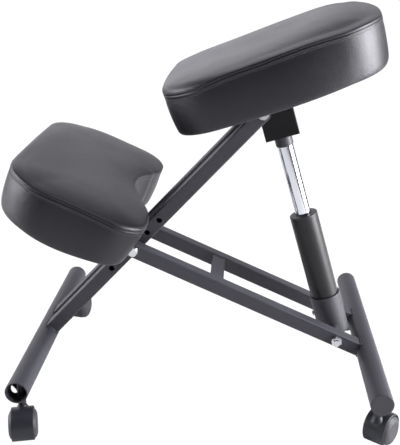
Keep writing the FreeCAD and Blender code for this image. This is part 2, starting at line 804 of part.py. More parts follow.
def build_rear_frame():
    add("rear_crossbar", rear_bar_frame, floor_bar(False))
    add("rear_bar_caps", rear_bar_frame, bar_cap(1), bar_cap(-1))
    add("rear_caster_sockets", rear_bar_frame, *caster_sockets())
    add("rail_left", rail_frame, rail(1))
    add("rail_right", rail_frame, rail(-1))
    add("rail_plugs", rail_frame, rail_plug(1), rail_plug(-1))
    add("rail_strap", rail_frame, rail_strap())
    add("rail_bolts", rail_frame, pivot_bolt(rail_outer, 1, -fold_run_on_rail, 0),
        pivot_bolt(rail_outer, -1, -lift_pivot_run, 0))
    add("rail_nuts", rail_frame, pivot_nut(rail_outer, -1, -fold_run_on_rail, 0),
        pivot_nut(rail_outer, 1, -lift_pivot_run, 0))
    add("fold_spacers", rail_frame, *fold_spacers())
    add("lift_spacers", rail_frame, *lift_spacers())
    add("knee_cross_plates", rail_frame, *cross_plates())
    add("knee_screws", rail_frame, *pad_screws())
    places = [(side * pad_screw_x, -run) for run in cross_plate_runs for side in (1, -1)]
    add("knee_board", rail_frame, drilled_board(cushion_board(pad_outline, pad_floor), places, pad_floor))
    add("knee_cushion", rail_frame, cushion(pad_outline, pad_floor, pad_height))


def build_front_frame():
    add("front_crossbar", front_bar_frame, floor_bar(True))
    add("front_bar_cap", front_bar_frame, bar_cap(-1))
    add("front_caster_sockets", front_bar_frame, *caster_sockets())
    add("arm_left", arm_frame, arm(1))
    add("arm_right", arm_frame, arm(-1))
    add("seat_pivot_bolt", arm_frame, pivot_bolt(arm_outer, 1, arm_pivot_run, 0))
    add("seat_pivot_nut", arm_frame, pivot_nut(arm_outer, -1, arm_pivot_run, 0))


def build_seat():
    add("seat_bracket", lift_frame, seat_bracket())
    add("seat_plate", seat_frame, seat_plate())
    add("seat_screws", seat_frame, *seat_screws())
    add("seat_board", seat_frame, drilled_board(cushion_board(seat_outline, 0), seat_screw_places(), 0))
    add("seat_cushion", seat_frame, cushion(seat_outline, 0, seat_height))
    add("lift_collar", lift_frame, lift_collar())
    add("lift_pressure_tube", lift_frame, lift_tube())
    add("lift_rod_guide", lift_frame, rod_guide())
    add("lever_pin", lift_frame, lever_pin())
    add("release_lever", lift_frame, release_lever())
    add("lever_paddle", lift_frame, lever_paddle())
    add("valve_button", lift_frame, valve_button())


def build_lift():
    add("lift_column", lift_frame, lift_column())
    add("lift_guide_bush", lift_frame, guide_bush())
    add("lift_piston_rod", lift_frame, piston_rod())
    add("lift_retaining_clip", lift_frame, retaining_clip())
    add("lift_socket", lift_frame, lift_socket())
    add("socket_screw", lift_frame, socket_screw())


def build_casters():
    for end, bar_axis, heading in (("front", front_axis, front_trail_heading),
                                   ("rear", rear_axis, rear_trail_heading)):
        for hand, side in (("left", 1), ("right", -1)):
            frame = caster_frame(side, bar_axis, heading)
            name = end + "_" + hand + "_caster_"
            add(name + "hood", frame, caster_hood())
            add(name + "stem", frame, caster_stem())
            add(name + "axle", frame, caster_axle())
            add(name + "wheel_a", frame, caster_wheel(1))
            add(name + "wheel_b", frame, caster_wheel(-1))


def write_parts():
    # The origin goes to the floor, under the middle of the whole chair's box
    everything = Part.makeCompound([solid for solids in nodes.values() for solid in solids])
    bounds = everything.optimalBoundingBox(False, False)
    shift = Vector(-(bounds.XMin + bounds.XMax) / 2, -(bounds.YMin + bounds.YMax) / 2, -bounds.ZMin)
    os.makedirs("parts", exist_ok=True)
    for name, solids in nodes.items():
        shape = Part.makeCompound(solids) if len(solids) > 1 else solids[0]
        shape.translate(shift)
        shape.exportStep("parts/" + name + ".step")
        for solid in solids:
            if not solid.isValid() or len(solid.Solids) != 1:
                print("check", name, solid.isValid(), len(solid.Solids))
    print("box", [round(length, 2) for length in (bounds.XLength, bounds.YLength, bounds.ZLength)])
    for label, point in (("fold", fold_point), ("lift", lift_pivot), ("seat pivot", seat_pivot),
                         ("front bar", front_axis), ("rear bar", rear_axis)):
        print(label, [round(value, 4) for value in point + shift])
    lever_point = lift_frame.multVec(Vector(-lever_pivot_offset, 0, lever_height))
    print("lever", [round(value, 4) for value in lever_point + shift])
    print("lift line", [round(value, 6) for value in lift_line], "side", [round(value, 6) for value in lift_side])
    for end, bar_axis, heading in (("front", front_axis, front_trail_heading),
                                   ("rear", rear_axis, rear_trail_heading)):
        for side in (-1, 1):
            frame = caster_frame(side, bar_axis, heading)
            hub = frame.multVec(Vector(0, caster_trail, wheel_radius)) + shift
            axis = frame.Rotation.multVec(Vector(1, 0, 0))
            print(end, side, "stem", [round(value, 4) for value in frame.Base + shift],
                  "hub", [round(value, 4) for value in hub], "axle", [round(value, 6) for value in axis])


build_rear_frame()
build_front_frame()
build_seat()
build_lift()
build_casters()
write_parts()
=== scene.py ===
import json
import math

import bpy
from mathutils import Matrix, Vector, noise
from mathutils.bvhtree import BVHTree
from mathutils.kdtree import KDTree


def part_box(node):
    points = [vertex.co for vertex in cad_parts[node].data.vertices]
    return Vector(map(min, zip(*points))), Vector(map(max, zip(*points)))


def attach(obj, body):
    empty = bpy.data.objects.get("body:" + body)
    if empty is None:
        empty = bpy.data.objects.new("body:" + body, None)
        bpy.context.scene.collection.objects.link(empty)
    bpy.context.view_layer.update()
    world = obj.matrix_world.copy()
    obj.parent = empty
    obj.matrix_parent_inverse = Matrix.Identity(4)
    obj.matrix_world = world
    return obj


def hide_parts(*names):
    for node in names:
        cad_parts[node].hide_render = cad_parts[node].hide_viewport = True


# Kneeling chair, in metres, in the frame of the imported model:
# +X to the sitter's left, +Y to the rear, +Z up, the floor at 0.

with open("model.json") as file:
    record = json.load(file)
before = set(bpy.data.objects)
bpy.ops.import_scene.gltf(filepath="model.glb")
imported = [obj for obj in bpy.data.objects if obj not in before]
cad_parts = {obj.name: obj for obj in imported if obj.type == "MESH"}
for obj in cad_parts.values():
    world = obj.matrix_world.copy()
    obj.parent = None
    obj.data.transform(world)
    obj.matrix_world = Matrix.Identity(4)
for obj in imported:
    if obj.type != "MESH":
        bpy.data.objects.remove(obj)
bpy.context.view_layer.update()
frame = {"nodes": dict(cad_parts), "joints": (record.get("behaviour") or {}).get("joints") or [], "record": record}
joints = {joint["name"]: joint for joint in frame["joints"]}


# Places read from the frame

def centre_of(node):
    low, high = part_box(node)
    return (low + high) / 2


def tilted_frame(origin, rearward):
    # X stays across the chair, Y follows the given line and Z stands square to both
    across = Vector((1, 0, 0))
    rearward = rearward.normalized()
    up = across.cross(rearward)
    axes = Matrix((across, rearward, up)).transposed()
    return Matrix.Translation(origin) @ axes.to_4x4()


rail_angle = math.radians(24.2)
arm_angle = math.radians(47.0)
seat_pitch = math.radians(19.0)
lift_pivot_run = 0.060
board_thickness = 0.012

front_bar = centre_of("front_crossbar")
front_axis = Vector((0, front_bar.y, front_bar.z))
lift_foot = Vector(joints["lift_tilt"]["pos_m"])
rail_line = Vector((0, -math.cos(rail_angle), math.sin(rail_angle)))
arm_line = Vector((0, math.cos(arm_angle), math.sin(arm_angle)))
seat_line = Vector((0, math.cos(seat_pitch), math.sin(seat_pitch)))

rail_frame = tilted_frame(lift_foot - rail_line * lift_pivot_run, -rail_line)
arm_frame = tilted_frame(front_axis, arm_line)
seat_frame = tilted_frame(Vector(), seat_line)
seat_up = seat_frame.to_3x3() @ Vector((0, 0, 1))
seat_frame.translation = centre_of("seat_board") - seat_up * board_thickness / 2


# Materials

class NodeTree:
    """Adds shader nodes whose inputs are set or linked by name or number."""

    def __init__(self, owner):
        owner.use_nodes = True
        self.nodes = owner.node_tree.nodes
        self.links = owner.node_tree.links

    def node(self, kind, inputs=None, **settings):
        made = self.nodes.new("ShaderNode" + kind)
        for setting, value in settings.items():
            setattr(made, setting, value)
        for socket, value in (inputs or {}).items():
            if isinstance(value, bpy.types.NodeSocket):
                self.links.new(value, made.inputs[socket])
            else:
                made.inputs[socket].default_value = value
        return made

    def product(self, first, second):
        return self.node("Math", {0: first, 1: second}, operation="MULTIPLY").outputs[0]

    def ramp(self, value, span, into, **settings):
        made = self.node("MapRange", {"Value": value, "From Min": span[0], "From Max": span[1],
                                      "To Min": into[0], "To Max": into[1]}, **settings)
        return made.outputs["Result"]


class Finish(NodeTree):
    """A procedural material whose shader sockets are set by name."""

    def __init__(self, name, **sockets):
        self.material = bpy.data.materials.new(name)
        super().__init__(self.material)
        self.shader = next(node for node in self.nodes if node.type == "BSDF_PRINCIPLED")
        self.place = self.node("TexCoord").outputs["Object"]
        self.bump_before = None
        for socket, value in sockets.items():
            self.shader.inputs[socket.replace("_", " ")].default_value = value

    def noise(self, scale, detail=3.0, roughness=0.5, distortion=0.0, stretch=None):
        place = self.place
        if stretch:
            place = self.node("Mapping", {"Vector": place, "Scale": stretch}).outputs["Vector"]
        made = self.node("TexNoise", {"Vector": place, "Scale": scale, "Detail": detail,
                                      "Roughness": roughness, "Distortion": distortion})
        return made.outputs["Fac"]

    def cells(self, scale, feature="DISTANCE_TO_EDGE"):
        made = self.node("TexVoronoi", {"Vector": self.place, "Scale": scale}, feature=feature)
        return made.outputs["Distance"]

    def colours(self, factor, dark, light):
        made = self.node("Mix", {0: factor, 6: (*dark, 1), 7: (*light, 1)}, data_type="RGBA")
        return made.outputs[2]

    def colour(self, output):
        self.links.new(output, self.shader.inputs["Base Color"])

    def roughness(self, output):
        self.links.new(output, self.shader.inputs["Roughness"])

    def bump(self, height, distance, strength=1.0):
        made = self.node("Bump", {"Height": height, "Distance": distance, "Strength": strength})
        if self.bump_before:
            self.links.new(self.bump_before, made.inputs["Normal"])
        self.bump_before = made.outputs["Normal"]
        self.links.new(self.bump_before, self.shader.inputs["Normal"])


def leatherette():
    finish = Finish("black_leatherette", Specular_IOR_Level=0.5, Specular_Tint=(0.93, 0.91, 1.0, 1.0))
    broad = finish.noise(9.0, detail=4.0)
    grain = finish.cells(620.0)
    fine = finish.noise(1900.0, detail=2.0)
    finish.colour(finish.colours(broad, dark=(0.0028, 0.0028, 0.0040), light=(0.0045, 0.0045, 0.0060)))
    finish.roughness(finish.ramp(broad, (0.3, 0.7), (0.36, 0.43)))
    finish.bump(finish.noise(42.0, detail=2.0, distortion=0.6), distance=0.0006, strength=0.35)
    finish.bump(finish.ramp(grain, (0.0, 0.22), (0.0, 1.0)), distance=0.00016, strength=0.55)
    finish.bump(fine, distance=0.00006, strength=0.4)
    return finish.material


def powder_coat():
    finish = Finish("black_powder_coat", Specular_IOR_Level=0.45)
    broad = finish.noise(14.0, detail=3.0)
    peel = finish.noise(900.0, detail=2.0)
    speckle = finish.noise(2600.0, detail=1.0)
    finish.colour(finish.colours(broad, dark=(0.027, 0.027, 0.036), light=(0.038, 0.038, 0.049)))
    finish.roughness(finish.ramp(speckle, (0.3, 0.7), (0.48, 0.60)))
    finish.bump(peel, distance=0.00012, strength=0.5)
    finish.bump(speckle, distance=0.00004, strength=0.5)
    return finish.material


# Painted shade: the seat bracket gets a near-black colour, far darker than the frame's powder coat, standing in
# for the shade under the seat.
def bracket_painted_shade():
    finish = Finish("bracket_painted_shade", Specular_IOR_Level=0.2)
    broad = finish.noise(16.0, detail=3.0)
    finish.colour(finish.colours(broad, dark=(0.0020, 0.0020, 0.0030), light=(0.0035, 0.0035, 0.0050)))
    finish.roughness(finish.ramp(finish.noise(900.0, detail=2.0), (0.3, 0.7), (0.48, 0.60)))
    finish.bump(finish.noise(1100.0, detail=2.0), distance=0.00008, strength=0.5)
    return finish.material


def enamel():
    finish = Finish("black_enamel", Specular_IOR_Level=0.3, Coat_Weight=0.05, Coat_Roughness=0.2)
    broad = finish.noise(18.0, detail=3.0)
    finish.colour(finish.colours(broad, dark=(0.008, 0.008, 0.011), light=(0.012, 0.012, 0.015)))
    finish.roughness(finish.ramp(finish.noise(240.0, detail=2.0), (0.3, 0.7), (0.36, 0.46)))
    finish.bump(finish.noise(500.0, detail=2.0), distance=0.00005, strength=0.4)
    return finish.material


def chrome():
    finish = Finish("chromed_steel", Metallic=1.0)
    film = finish.noise(30.0, detail=4.0, stretch=(1, 1, 0.25))
    finish.colour(finish.colours(film, dark=(0.54, 0.55, 0.59), light=(0.66, 0.67, 0.71)))
    finish.roughness(finish.ramp(film, (0.35, 0.7), (0.05, 0.13)))
    finish.bump(finish.noise(1400.0, detail=1.0, stretch=(1, 1, 0.02)), distance=0.00001, strength=0.3)
    return finish.material


def zinc():
    finish = Finish("zinc_steel", Metallic=1.0)
    spangle = finish.cells(480.0, "F1")
    stain = finish.noise(90.0, detail=3.0)
    finish.colour(finish.colours(stain, dark=(0.50, 0.51, 0.54), light=(0.72, 0.73, 0.75)))
    finish.roughness(finish.ramp(spangle, (0.0, 0.8), (0.22, 0.38)))
    finish.bump(finish.noise(1500.0, detail=2.0), distance=0.00005, strength=0.5)
    return finish.material


def bare_steel():
    finish = Finish("caster_steel", Metallic=1.0)
    turned = finish.noise(700.0, detail=2.0, stretch=(1, 1, 6))
    finish.colour(finish.colours(turned, dark=(0.42, 0.42, 0.44), light=(0.60, 0.61, 0.63)))
    finish.roughness(finish.ramp(turned, (0.3, 0.7), (0.25, 0.40)))
    finish.bump(turned, distance=0.00003, strength=0.5)
    return finish.material


def moulded_plastic():
    finish = Finish("black_plastic", Specular_IOR_Level=0.5)
    spark = finish.noise(1700.0, detail=2.0)
    broad = finish.noise(26.0, detail=2.0)
    finish.colour(finish.colours(broad, dark=(0.018, 0.018, 0.025), light=(0.027, 0.027, 0.036)))
    finish.roughness(finish.ramp(spark, (0.3, 0.7), (0.44, 0.56)))
    finish.bump(spark, distance=0.00008, strength=0.5)
    return finish.material


def caster_nylon():
    finish = Finish("caster_plastic", Specular_IOR_Level=0.35)
    flow = finish.noise(34.0, detail=3.0, distortion=0.8)
    finish.colour(finish.colours(flow, dark=(0.011, 0.012, 0.017), light=(0.019, 0.021, 0.028)))
    finish.roughness(finish.ramp(flow, (0.3, 0.7), (0.38, 0.48)))
    finish.bump(finish.noise(420.0, detail=2.0), distance=0.00006, strength=0.4)
    return finish.material


def wheel_nylon():
    finish = Finish("caster_tread", Specular_IOR_Level=0.45)
    scuff = finish.noise(220.0, detail=5.0, roughness=0.65)
    broad = finish.noise(40.0, detail=2.0)
    shade = finish.product(scuff, broad)
    scuffed = finish.ramp(shade, (0.1, 0.45), (0.0, 1.0))
    finish.colour(finish.colours(scuffed, dark=(0.017, 0.017, 0.023), light=(0.040, 0.040, 0.049)))
    finish.roughness(finish.ramp(scuff, (0.3, 0.7), (0.44, 0.60)))
    finish.bump(scuff, distance=0.00008, strength=0.5)
    return finish.material


def dust_cloth():
    finish = Finish("board_underside", Roughness=0.92, Sheen_Weight=0.15, Sheen_Roughness=0.6)
    fibres = finish.noise(1300.0, detail=4.0, roughness=0.7, distortion=1.5)
    dimples = finish.cells(750.0, "F1")
    broad = finish.noise(30.0, detail=3.0)
    finish.colour(finish.colours(broad, dark=(0.014, 0.014, 0.015), light=(0.028, 0.028, 0.029)))
    finish.bump(dimples, distance=0.0002, strength=0.5)
    finish.bump(fibres, distance=0.0001, strength=0.6)
    return finish.material


def sewing_thread():
    finish = Finish("seam_thread", Roughness=0.6, Sheen_Weight=0.3)
    twist = finish.noise(2600.0, detail=2.0, stretch=(1, 0.3, 1))
    finish.colour(finish.colours(twist, dark=(0.018, 0.018, 0.02), light=(0.05, 0.05, 0.055)))
    finish.bump(twist, distance=0.00006, strength=0.6)
    return finish.material


finishes = {
    "black_leatherette": leatherette(),
    "black_powder_coat": powder_coat(),
    "black_enamel": enamel(),
    "chromed_steel": chrome(),
    "zinc_steel": zinc(),
    "caster_steel": bare_steel(),
    "black_plastic": moulded_plastic(),
    "caster_plastic": caster_nylon(),
    "caster_tread": wheel_nylon(),
    "board_underside": dust_cloth(),
}
thread = sewing_thread()


def dress(piece, material):
    if not piece.data.materials:
        piece.data.materials.append(material)
    for holder in piece.material_slots:
        holder.material = material


def dress_nodes():
    for subpart in frame["record"]["subparts"]:
        dress(frame["nodes"][subpart["node"]], finishes[subpart["material_slot"]])
    # The seat bracket's darker colour is painted shade for the shade under the seat.
    dress(frame["nodes"]["seat_bracket"], bracket_painted_shade())
    dress(frame["nodes"]["front_caster_sockets"], finishes["black_powder_coat"])


# Mesh helpers

def new_piece(name, vertices, faces, material, body, slot):
    mesh = bpy.data.meshes.new(name)
    mesh.from_pydata([tuple(vertex) for vertex in vertices], [], faces)
    mesh.update()
    piece = bpy.data.objects.new(name, mesh)
    bpy.context.scene.collection.objects.link(piece)
    for polygon in mesh.polygons:
        polygon.use_smooth = True
    dress(piece, material)
    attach(piece, body)
    return piece


def apply_modifiers(piece):
    graph = bpy.context.evaluated_depsgraph_get()
    shown = bpy.data.meshes.new_from_object(piece.evaluated_get(graph))
    piece.modifiers.clear()
    piece.data = shown


def subdivide(piece, levels):
    made = piece.modifiers.new("rounding", "SUBSURF")
    made.levels = levels
    made.render_levels = levels
    apply_modifiers(piece)


def band_faces(low, high, count):
    # Faces between two closed rings of points, each given by its first index
    return [(low + step, low + (step + 1) % count, high + (step + 1) % count, high + step)
            for step in range(count)]


def tube_faces(first, ring_count, sides, closed):
    # Faces of a tube of rings, capped at both ends where it isn't closed
    faces = []
    for ring in range(ring_count if closed else ring_count - 1):
        faces += band_faces(first + ring * sides, first + (ring + 1) % ring_count * sides, sides)
    if not closed:
        last = first + (ring_count - 1) * sides
        faces.append(list(range(first, first + sides))[::-1])
        faces.append(list(range(last, last + sides)))
    return faces


def circle_points(centre, across, outward, radius, sides):
    points = []
    for side in range(sides):
        angle = 2 * math.pi * side / sides
        away = across * math.cos(angle) + outward * math.sin(angle)
        points.append(centre + away * radius)
    return points


def smooth_step(value, low, high):
    share = min(max((value - low) / (high - low), 0.0), 1.0)
    return share * share * (3 - 2 * share)


# Cushion outlines, counterclockwise from the middle of the front

half_turn = math.pi


def heading(start, end):
    return math.atan2(end[1] - start[1], end[0] - start[0])


class Outline:
    """A closed outline of arcs and straight runs that knows its outward normals."""

    def __init__(self):
        self.stretches = []

    def arc(self, centre, radius, start, end):
        # An arc that turns clockwise is hollow, and its outward side faces its centre
        outward = 1 if end > start else -1

        def at(share):
            angle = start + (end - start) * share
            away = Vector((math.cos(angle), math.sin(angle)))
            return Vector(centre) + away * radius, away * outward

        self.stretches.append((radius * abs(end - start), at))

    def run(self, start, end):
        line = Vector(end) - Vector(start)
        outward = Vector((line.y, -line.x)).normalized()
        self.stretches.append((line.length, lambda share: (Vector(start) + line * share, outward)))

    def length(self):
        return sum(length for length, _ in self.stretches)

    def at(self, share):
        left = share % 1.0 * self.length()
        for length, place in self.stretches:
            if left <= length:
                return place(left / length)
            left -= length
        return self.stretches[-1][1](1.0)


seat_half_width = 0.206
seat_side_bow = 0.008
seat_front = {"reach": 0.1755, "corner": 0.087, "bow": 0.0008}
seat_rear = {"reach": 0.1862, "corner": 0.090, "bow": 0.0080}


def seat_quarter(end):
    # Corner centre, radii of the bowed end and side, and the two angles at which the corner meets them
    corner = (seat_half_width - end["corner"] - seat_side_bow, end["reach"] - end["corner"] - end["bow"])
    end_reach = end["corner"] + end["bow"]
    side_reach = end["corner"] + seat_side_bow
    end_radius = (corner[0] ** 2 + end_reach ** 2 - end["corner"] ** 2) / (2 * end["bow"])
    side_radius = (corner[1] ** 2 + side_reach ** 2 - end["corner"] ** 2) / (2 * seat_side_bow)
    end_lean = heading((0, end["reach"] - end_radius), corner)
    side_lean = heading((seat_half_width - side_radius, 0), corner)
    return corner, end_radius, side_radius, end_lean, side_lean


def seat_outline():
    outline = Outline()
    front_corner = seat_front["corner"]
    rear_corner = seat_rear["corner"]
    front, front_radius, front_side, front_lean, front_side_lean = seat_quarter(seat_front)
    rear, rear_radius, rear_side, rear_lean, rear_side_lean = seat_quarter(seat_rear)
    front_heart = (0, front_radius - seat_front["reach"])
    rear_heart = (0, seat_rear["reach"] - rear_radius)
    outline.arc(front_heart, front_radius, -half_turn / 2, -front_lean)
    outline.arc((front[0], -front[1]), front_corner, -front_lean, -front_side_lean)
    outline.arc((seat_half_width - front_side, 0), front_side, -front_side_lean, 0)
    outline.arc((seat_half_width - rear_side, 0), rear_side, 0, rear_side_lean)
    outline.arc(rear, rear_corner, rear_side_lean, rear_lean)
    outline.arc(rear_heart, rear_radius, rear_lean, half_turn - rear_lean)
    outline.arc((-rear[0], rear[1]), rear_corner, half_turn - rear_lean, half_turn - rear_side_lean)
    outline.arc((rear_side - seat_half_width, 0), rear_side, half_turn - rear_side_lean, half_turn)
    outline.arc((front_side - seat_half_width, 0), front_side, half_turn, half_turn + front_side_lean)
    outline.arc((-front[0], -front[1]), front_corner, half_turn + front_side_lean, half_turn + front_lean)
    outline.arc(front_heart, front_radius, half_turn + front_lean, half_turn * 1.5)
    return outline


pad_half_width = 0.222
pad_front = -0.6950
pad_front_corner = 0.093
pad_rear_corner = 0.050
lobe_middle = 0.150
left_lobe = {"tip": -0.456, "radius": 0.150}
right_lobe = {"tip": -0.4645, "radius": 0.088}
notch_bottom = (-0.015, -0.502)
notch_radius = 0.1473


def pad_outline():
    # The notch arc touches both lobe arcs from outside
    front = (pad_half_width - pad_front_corner, pad_front + pad_front_corner)
    notch = (notch_bottom[0], notch_bottom[1] + notch_radius)
    outline = Outline()
    left = (lobe_middle, left_lobe["tip"] - left_lobe["radius"])
    right = (-lobe_middle, right_lobe["tip"] - right_lobe["radius"])
    left_corner = (pad_half_width - pad_rear_corner, left_lobe["tip"] - pad_rear_corner)
    right_corner = (pad_rear_corner - pad_half_width, right_lobe["tip"] - pad_rear_corner)
    left_turn = heading(left, notch)
    right_turn = heading(right, notch)
    outline.run((0, pad_front), (front[0], pad_front))
    outline.arc(front, pad_front_corner, -half_turn / 2, 0)
    outline.run((pad_half_width, front[1]), (pad_half_width, left_corner[1]))
    outline.arc(left_corner, pad_rear_corner, 0, half_turn / 2)
    outline.run((left_corner[0], left_lobe["tip"]), (lobe_middle, left_lobe["tip"]))
    outline.arc(left, left_lobe["radius"], half_turn / 2, left_turn)
    outline.arc(notch, notch_radius, left_turn - half_turn, right_turn - half_turn)
    outline.arc(right, right_lobe["radius"], right_turn, half_turn / 2)
    outline.run((-lobe_middle, right_lobe["tip"]), (right_corner[0], right_lobe["tip"]))
    outline.arc(right_corner, pad_rear_corner, half_turn / 2, half_turn)
    outline.run((-pad_half_width, right_corner[1]), (-pad_half_width, front[1]))
    outline.arc((-front[0], front[1]), pad_front_corner, half_turn, half_turn * 1.5)
    outline.run((-front[0], pad_front), (0, pad_front))
    return outline


# Cushions

around_cells = 44
welt_reach = 0.0042
top_inset = 0.0125
lid_height = 0.0065

# Inset and height of the cover where it wraps under the board
under_levels = ((0.030, lid_height), (0.0155, 0.0050), (0.0130, -0.0004))
# Inset and share of the sag of the rounded bottom edge
foot_levels = ((0.0095, 0.75), (0.0055, 1.0), (0.0024, 0.70))
# Inset and share of the height from the bottom edge to the welt
side_levels = ((0.0006, 0.05), (-0.0004, 0.14), (-0.0014, 0.34), (-0.0018, 0.56), (-0.0014, 0.77),
               (-0.0006, 0.91))
# Inset and rise from the seam of the sewn welt, a fine groove between two lips
welt_levels = ((0.0000, -0.0042), (-0.0008, -0.0030), (-0.0010, -0.0014), (0.0003, 0.0), (-0.0007, 0.0012),
               (-0.0007, 0.0026))
# Inset, as a share of the top edge's, and share of the height from the seam to the top edge
roll_levels = ((0.02, 0.26), (0.13, 0.48), (0.34, 0.71), (0.65, 0.90), (1.0, 1.0))
# Share of the sag at which the side begins
side_start = 0.4
rim_steps = 720
crown_run = 0.034
rim_run = 0.050

# Reach, density and layer of the small unevenness of seam, side, welt and top
seam_wander = 0.0006
seam_density = 11
seam_layers = 40
side_wander = 0.0008
side_density = 14
side_layers = 2
welt_wander = 0.0003
welt_density = 60
welt_layer = 3.0
top_wander = 0.0006
top_density = 7
top_layers = 30


def uneven(point, density, layer):
    # Smooth noise across a cushion, with another pattern on each layer
    return noise.noise(Vector((point.x * density, point.y * density, layer)))


class Cushion:
    """The form of one cushion, in its own frame, with its board's underside at height 0."""

    def __init__(self, outline, heart, seam, top, shape):
        self.outline = outline
        self.heart = Vector(heart)
        self.seam = seam
        self.top = top
        self.shape = shape

    def seam_height(self, point):
        wander = seam_wander * uneven(point, seam_density, self.seam * seam_layers)
        return self.seam + self.shape.seam_shift(point) + wander

    def top_edge(self, point):
        return self.top + self.shape.edge_rise(point)

    def side_point(self, share, level):
        # One point of the cover on the given level at the given share of the way round
        point, outward = self.outline.at(share)
        seam = self.seam_height(point)
        foot = -self.shape.sag(point)
        kind, inset, height = level
        if kind == "under":
            z = height
        elif kind == "foot":
            z = foot * height
            inset += self.shape.foot_draw(point)
        elif kind == "side":
            start = foot * side_start
            z = start + (seam - start - welt_reach) * height
            swell = side_wander * uneven(point, side_density, height * side_layers + self.seam)
            inset += self.shape.foot_draw(point) * (1 - height) - swell * math.sin(math.pi * height)
        elif kind == "welt":
            z = seam + height
            inset += welt_wander * uneven(point, welt_density, welt_layer)
        else:
            lip_inset, lip_rise = welt_levels[-1]
            z = seam + lip_rise + (self.top_edge(point) - seam - lip_rise) * height
            inset = lip_inset + (top_inset * self.shape.roll(point) - lip_inset) * inset
        place = point - outward * inset
        return Vector((place.x, place.y, z))

    def find_rim(self):
        # The top edge as a search tree, with the height at each of its points
        level = ("roll", *roll_levels[-1])
        edge = [self.side_point(step / rim_steps, level) for step in range(rim_steps)]
        self.rim = KDTree(rim_steps)
        self.rim_heights = [point.z for point in edge]
        for step, point in enumerate(edge):
            self.rim.insert((point.x, point.y, 0), step)
        self.rim.balance()

    def top_height(self, place):
        # The padding rises steeply at the rim and levels off toward the middle
        _, nearest, gap = self.rim.find((place.x, place.y, 0))
        rim_share = math.exp(-gap / rim_run)
        rim_rise = (self.rim_heights[nearest] - self.top) * rim_share
        crown = self.shape.dome(place) * (1 - math.exp(-gap / crown_run))
        wander = top_wander * uneven(place, top_density, self.top * top_layers)
        return self.top + rim_rise + crown + wander * (1 - rim_share)


def cushion_levels():
    levels = [("under", *level) for level in under_levels]
    levels += [("foot", *level) for level in foot_levels]
    levels += [("side", *level) for level in side_levels]
    levels += [("welt", *level) for level in welt_levels]
    levels += [("roll", *level) for level in roll_levels]
    return levels


def square_walk(cells):
    # Grid places round the edge of a square, counterclockwise from the middle of the front
    half = cells // 2
    walk = [(column, 0) for column in range(half, cells)]
    walk += [(cells, row) for row in range(cells)]
    walk += [(column, cells) for column in range(cells, 0, -1)]
    walk += [(0, row) for row in range(cells, 0, -1)]
    walk += [(column, 0) for column in range(half)]
    return walk


on_edge = 1 - 1e-9


def share_of_square(x, y):
    # Share of the way round a square of side 2, from the middle of the front, for a point on its edge
    if y <= -on_edge and x < 1:
        travelled = x if x >= 0 else 8 + x
    elif x >= on_edge and y < 1:
        travelled = 2 + y
    elif y >= on_edge and x > -1:
        travelled = 4 - x
    else:
        travelled = 6 - y
    return travelled / 8


def add_grid(vertices, faces, first_ring, place_at, facing_up):
    # A square grid that fills the ring which starts at first_ring
    at = {place: first_ring + step for step, place in enumerate(square_walk(around_cells))}
    for row in range(1, around_cells):
        for column in range(1, around_cells):
            x = 2 * column / around_cells - 1
            y = 2 * row / around_cells - 1
            reach = max(abs(x), abs(y))
            share = share_of_square(x / reach, y / reach) if reach else 0.0
            at[(column, row)] = len(vertices)
            vertices.append(place_at(reach, share))
    for row in range(around_cells):
        for column in range(around_cells):
            places = ((column, row), (column + 1, row), (column + 1, row + 1), (column, row + 1))
            corners = [at[place] for place in places]
            faces.append(corners if facing_up else corners[::-1])


def cushion_mesh(form):
    # Rings from under the board up to the top edge, with a grid across the underside and one across the top
    count = 4 * around_cells
    levels = cushion_levels()
    vertices = [form.side_point(step / count, level) for level in levels for step in range(count)]
    faces = []
    for ring in range(len(levels) - 1):
        faces += band_faces(ring * count, (ring + 1) * count, count)

    def under_point(reach, share):
        edge = form.side_point(share, levels[0])
        return form.heart.to_3d().lerp(Vector((edge.x, edge.y, 0)), reach) + Vector((0, 0, lid_height))

    def top_point(reach, share):
        edge = form.side_point(share, levels[-1])
        place = form.heart.lerp(Vector((edge.x, edge.y)), reach)
        return Vector((place.x, place.y, form.top_height(place)))

    form.find_rim()
    add_grid(vertices, faces, 0, under_point, False)
    add_grid(vertices, faces, (len(levels) - 1) * count, top_point, True)
    return vertices, faces


corner_gain = 2.8


def corner_share(point, half_width, half_length, middle=0.0):
    # Near 1 in the corners and 0 in the middle of each side
    return min(corner_gain * (point.x / half_width) ** 2 * ((point.y - middle) / half_length) ** 2, 1.0)


